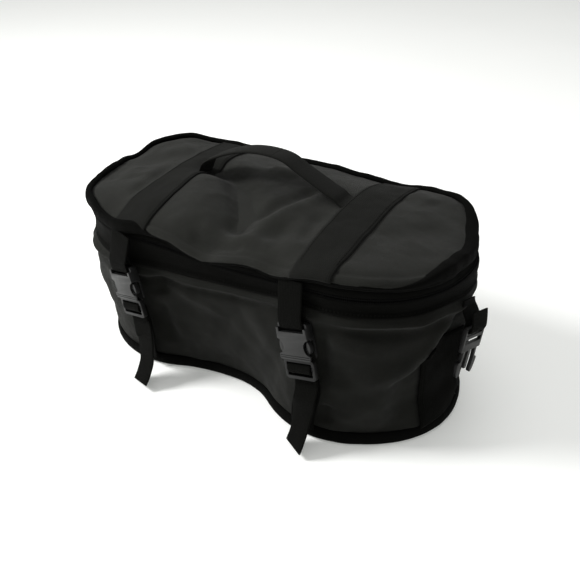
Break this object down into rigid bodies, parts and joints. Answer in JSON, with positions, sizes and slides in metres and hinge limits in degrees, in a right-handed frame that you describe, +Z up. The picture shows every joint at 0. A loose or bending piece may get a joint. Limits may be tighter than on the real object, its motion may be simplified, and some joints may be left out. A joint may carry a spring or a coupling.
{
  "type": "motorcycle tail bag",
  "caption": "Soft bean-shaped motorcycle tail bag with a zipped lid, webbing bands, carry handle and side-release buckles.",
  "frame": {"origin": "middle of the base panel's underside", "axes": "+X along the bag, -Y its concave front with the buckles, +Z up"},
  "size_m": [0.4173, 0.2304, 0.2047],
  "materials": {
    "body_fabric": "matte woven",
    "lid_fabric": "matte woven",
    "tape": "matte woven tape",
    "webbing": "coarse woven webbing",
    "foam": "brushed lining",
    "board": "matte",
    "buckle_plastic": "satin moulded",
    "pull_metal": "black coated"
  },
  "bodies": {
    "bag": {"base_panel": "body_fabric", "base_board": "board", "base_binding": "tape", "main_wall": "body_fabric", "zip_tape_lower": "tape", "hinge_strip": "tape", "strap_lower_left": "webbing", "strap_lower_right": "webbing", "ladder_frame_left": "buckle_plastic", "ladder_frame_right": "buckle_plastic", "end_web_left": "webbing", "end_web_right": "webbing", "end_tab_left": "webbing", "end_tab_right": "webbing"},
    "lid": {"lid_panel": "lid_fabric", "lid_foam": "foam", "lid_boxing": "lid_fabric", "lid_binding": "tape", "zip_tape_upper": "tape", "lid_band_left": "webbing", "lid_band_right": "webbing", "handle_end_left": "webbing", "handle_end_right": "webbing", "strap_upper_left": "webbing", "strap_upper_right": "webbing", "socket_left": "buckle_plastic", "socket_right": "buckle_plastic"},
    "handle": {"carry_handle": "webbing"},
    "arm_left_inner": {"release_arm_left_inner": "buckle_plastic"},
    "arm_left_outer": {"release_arm_left_outer": "buckle_plastic"},
    "arm_right_inner": {"release_arm_right_inner": "buckle_plastic"},
    "arm_right_outer": {"release_arm_right_outer": "buckle_plastic"},
    "clip_left": {"end_clip_left": "buckle_plastic"},
    "clip_right": {"end_clip_right": "buckle_plastic"},
    "slider_back": {"zip_slider_back": "pull_metal"},
    "pull_back": {"zip_pull_back": "pull_metal"},
    "slider_front": {"zip_slider_front": "pull_metal"},
    "pull_front": {"zip_pull_front": "pull_metal"}
  },
  "joints": [
    {"name": "lid_hinge", "type": "hinge", "parent": "bag", "child": "lid", "pos_m": [0, 0.0962, 0.1428], "axis": [-1, 0, 0], "range_deg": [0, 110]},
    {"name": "handle_tilt", "type": "hinge", "parent": "lid", "child": "handle", "pos_m": [0, 0.01, 0.179], "axis": [-1, 0, 0], "range_deg": [-12, 14]},
    {"name": "arm_left_inner_press", "type": "hinge", "parent": "bag", "child": "arm_left_inner", "pos_m": [-0.08489, -0.10128, 0.08454], "axis": [-0.2147, -0.9767, -0.0052], "range_deg": [0, 10], "stiffness_Nm_per_rad": 0.05},
    {"name": "arm_left_outer_press", "type": "hinge", "parent": "bag", "child": "arm_left_outer", "pos_m": [-0.10281, -0.09731, 0.07962], "axis": [0.2147, 0.9767, 0.0052], "range_deg": [0, 10], "stiffness_Nm_per_rad": 0.05},
    {"name": "arm_right_inner_press", "type": "hinge", "parent": "bag", "child": "arm_right_inner", "pos_m": [0.07807, -0.10136, 0.07945], "axis": [0.1692, 0.9796, -0.108], "range_deg": [0, 10], "stiffness_Nm_per_rad": 0.05},
    {"name": "arm_right_outer_press", "type": "hinge", "parent": "bag", "child": "arm_right_outer", "pos_m": [0.09598, -0.10382, 0.08529], "axis": [-0.1692, -0.9796, 0.108], "range_deg": [0, 10], "stiffness_Nm_per_rad": 0.05},
    {"name": "end_clip_left_swing", "type": "hinge", "parent": "bag", "child": "clip_left", "pos_m": [-0.19796, -0.00932, 0.1], "axis": [-0.2347, 0.9415, -0.2419], "range_deg": [0, 40]},
    {"name": "end_clip_right_swing", "type": "hinge", "parent": "bag", "child": "clip_right", "pos_m": [0.20514, -0.01303, 0.1], "axis": [-0.2347, -0.9415, 0.2419], "range_deg": [0, 40]},
    {"name": "zip_back_run", "type": "hinge", "parent": "bag", "child": "slider_back", "pos_m": [-0.09732, -0.00011, 0.1428], "axis": [0, 0, 1], "range_deg": [-30, 0]},
    {"name": "zip_back_pull_swing", "type": "hinge", "parent": "slider_back", "child": "pull_back", "pos_m": [-0.17318, 0.05916, 0.1438], "axis": [0.6157, 0.788, 0], "range_deg": [0, 40]},
    {"name": "zip_front_run", "type": "hinge", "parent": "bag", "child": "slider_front", "pos_m": [-0.09732, -0.00011, 0.1428], "axis": [0, 0, 1], "range_deg": [0, 62]},
    {"name": "zip_front_pull_swing", "type": "hinge", "parent": "slider_front", "child": "pull_front", "pos_m": [-0.18232, 0.04508, 0.1438], "axis": [0.4695, 0.8829, 0], "range_deg": [0, 40]}
  ]
}
